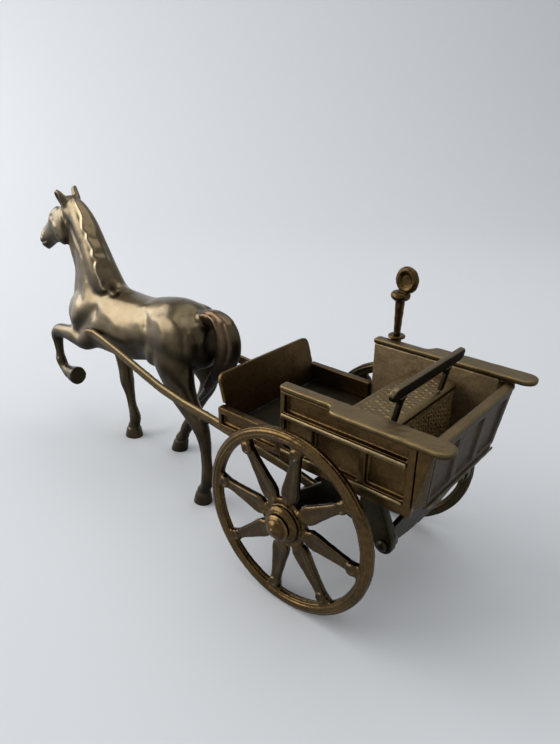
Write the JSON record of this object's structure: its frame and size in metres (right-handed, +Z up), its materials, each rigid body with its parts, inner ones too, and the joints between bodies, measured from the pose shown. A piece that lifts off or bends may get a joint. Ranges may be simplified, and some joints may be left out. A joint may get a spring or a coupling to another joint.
{
  "type": "horse and cart ornament",
  "caption": "Aged brass ornament: a trotting horse in shafts draws a panelled open cart with a tufted seat, paddle-spoked wheels and an upright whip.",
  "frame": {"origin": "middle of the length and width of the whole ornament, on the surface it stands on", "axes": "+X towards the cart's tail, so the horse faces -X; +Y to the right of the horse; +Z up"},
  "size_m": [0.3282, 0.1154, 0.1635],
  "materials": {
    "horse_brass": "polished",
    "wheel_brass": "satin",
    "rail_brass": "satin",
    "shaded_brass": "aged",
    "dark_brass": "aged"
  },
  "bodies": {
    "horse": {"horse": "horse_brass", "shaft_pin": "dark_brass"},
    "wheel_left": {"wheel_left": "wheel_brass"},
    "wheel_right": {"wheel_right": "wheel_brass"},
    "whip": {"whip": "dark_brass"},
    "cart": {"axle": "shaded_brass", "axle_bracket_left": "shaded_brass", "axle_bracket_right": "shaded_brass", "backrest_rail": "shaded_brass", "backrest_strut_left": "shaded_brass", "backrest_strut_right": "shaded_brass", "base_moulding_left": "rail_brass", "base_moulding_right": "rail_brass", "corner_post_left": "dark_brass", "corner_post_right": "dark_brass", "dashboard": "dark_brass", "footboard": "shaded_brass", "footwell_side_left": "dark_brass", "footwell_side_right": "dark_brass", "hanger_bolt_left": "dark_brass", "hanger_bolt_right": "dark_brass", "hub_cap_left": "wheel_brass", "hub_cap_right": "wheel_brass", "hub_washer_left": "shaded_brass", "hub_washer_right": "shaded_brass", "rear_cross_bar": "shaded_brass", "rear_hanger_left": "shaded_brass", "rear_hanger_right": "shaded_brass", "seat_board": "rail_brass", "seat_front_panel": "dark_brass", "seat_rear_panel": "dark_brass", "shaft_left": "rail_brass", "shaft_right": "rail_brass", "side_panel_left": "dark_brass", "side_panel_right": "dark_brass", "side_rail_left": "rail_brass", "side_rail_right": "rail_brass", "tailgate": "dark_brass", "tailgate_moulding": "dark_brass", "tailgate_rail": "rail_brass", "trunk_floor": "shaded_brass", "waist_moulding_left": "rail_brass", "waist_moulding_right": "rail_brass", "whip_socket": "dark_brass"}
  },
  "joints": [
    {"name": "cart_pitch", "type": "hinge", "parent": "horse", "child": "cart", "pos_m": [-0.08369, 0, 0.0816], "axis": [0, 1, 0], "range_deg": [-45, 10]},
    {"name": "wheel_left_spin", "type": "hinge", "parent": "cart", "child": "wheel_left", "pos_m": [0.09431, -0.0475, 0.046], "axis": [0, 1, 0], "continuous": true},
    {"name": "wheel_right_spin", "type": "hinge", "parent": "cart", "child": "wheel_right", "pos_m": [0.09431, 0.0475, 0.046], "axis": [0, 1, 0], "continuous": true},
    {"name": "whip_lift", "type": "slide", "parent": "cart", "child": "whip", "axis": [0, 0, 1], "range_m": [0, 0.004]}
  ]
}
